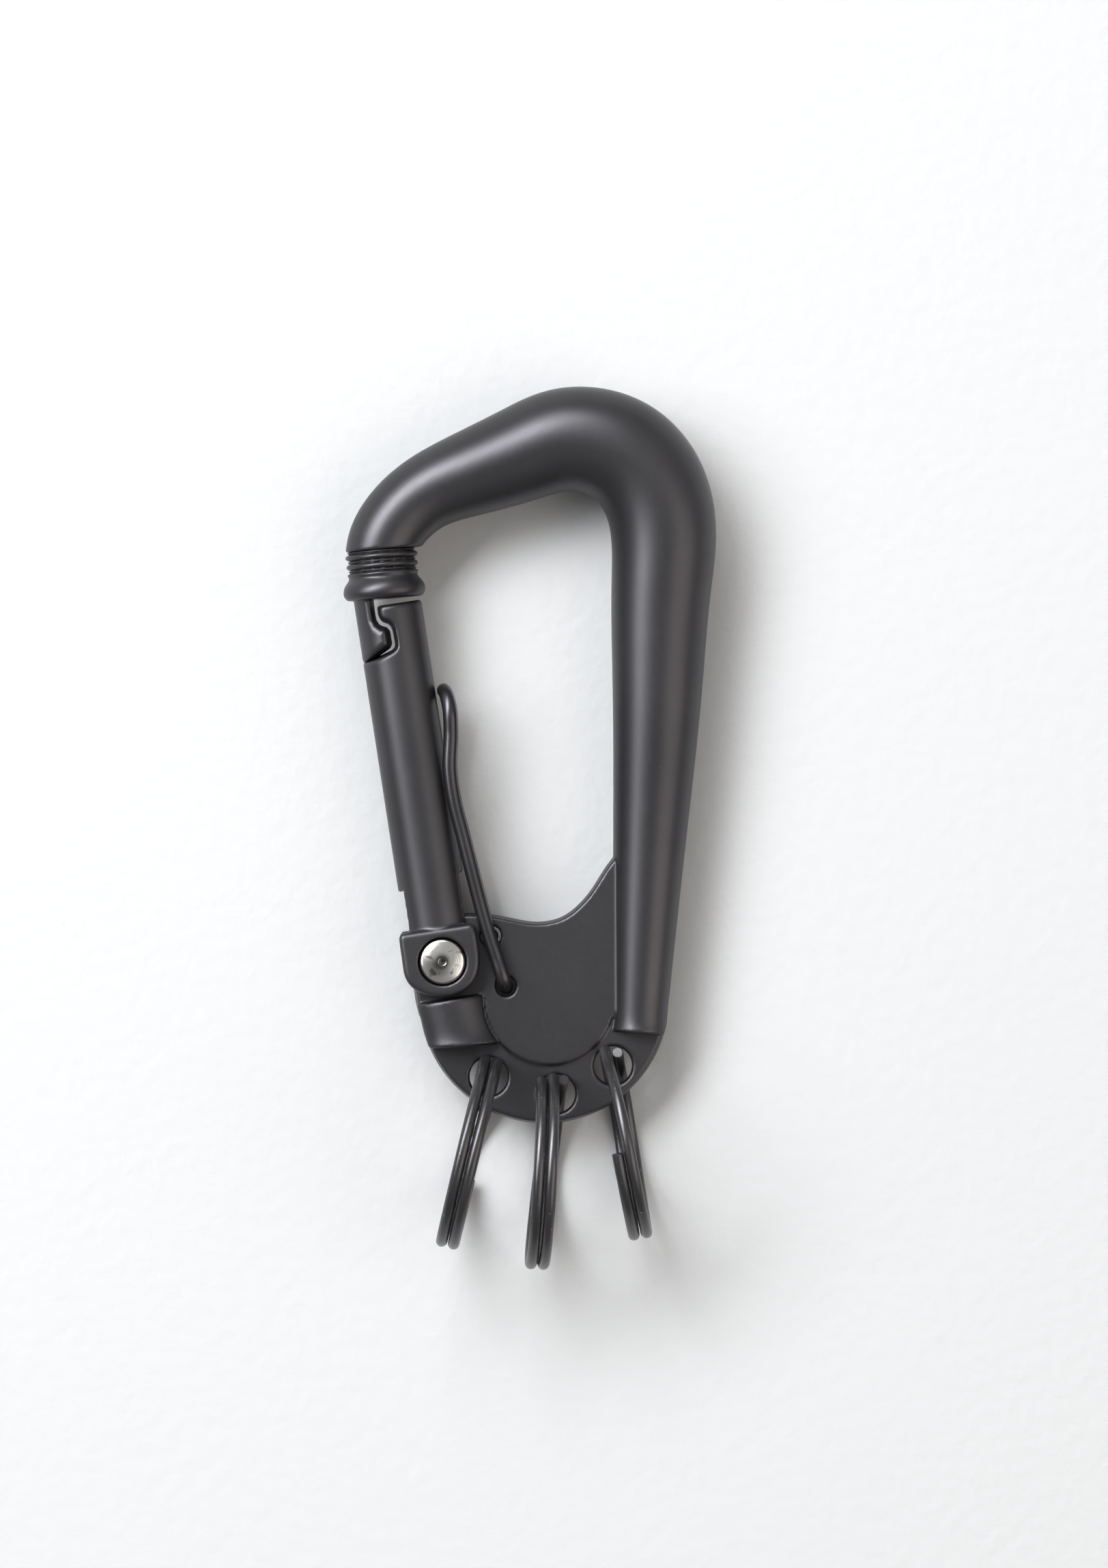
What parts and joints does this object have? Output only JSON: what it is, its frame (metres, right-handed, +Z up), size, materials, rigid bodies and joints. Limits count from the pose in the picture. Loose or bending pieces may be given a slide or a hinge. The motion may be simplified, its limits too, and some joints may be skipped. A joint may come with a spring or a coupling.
{
  "type": "key organiser carabiner",
  "caption": "Die-cast carabiner key organiser: a thick tapering hook, a wire-sprung gate that locks on the nose, and split key rings threaded through its lower lip.",
  "frame": {"origin": "on the surface that the object lies on, under the middle of its box", "axes": "+Z up from that surface, +Y along the object towards its top bend, +X from the gate towards the spine"},
  "size_m": [0.0523, 0.1238, 0.0276],
  "materials": {
    "cast_metal": "satin gunmetal",
    "bright_nickel": "turned, bright",
    "spring_wire": "satin gunmetal plating",
    "ring_wire": "gunmetal plating, worn to a low shine"
  },
  "bodies": {
    "frame": {"frame_casting": "cast_metal", "gate_spring": "spring_wire"},
    "gate": {"gate": "cast_metal", "hinge_rivet": "bright_nickel"},
    "key_ring_left": {"key_ring_left": "ring_wire"},
    "key_ring_middle": {"key_ring_middle": "ring_wire"},
    "key_ring_right": {"key_ring_right": "ring_wire"}
  },
  "joints": [
    {"name": "gate_hinge", "type": "hinge", "parent": "frame", "child": "gate", "pos_m": [-0.0123, -0.01896, 0.00685], "axis": [0, 0.0122, -0.9999], "range_deg": [0, 28], "stiffness_Nm_per_rad": 0.35, "springref_deg": -17.19, "deforming": ["gate_spring"]},
    {"name": "key_ring_left_swing", "type": "hinge", "parent": "frame", "child": "key_ring_left", "pos_m": [-0.00669, -0.03879, 0.0066], "axis": [0.9723, -0.2334, 0.0087], "range_deg": [-5, 96]},
    {"name": "key_ring_middle_swing", "type": "hinge", "parent": "frame", "child": "key_ring_middle", "pos_m": [0.0035, -0.0413, 0.00657], "axis": [0.9978, -0.054, -0.0384], "range_deg": [-5, 96]},
    {"name": "key_ring_right_swing", "type": "hinge", "parent": "frame", "child": "key_ring_right", "pos_m": [0.01237, -0.03724, 0.00662], "axis": [0.9819, 0.1891, 0.007], "range_deg": [-5, 96]}
  ]
}
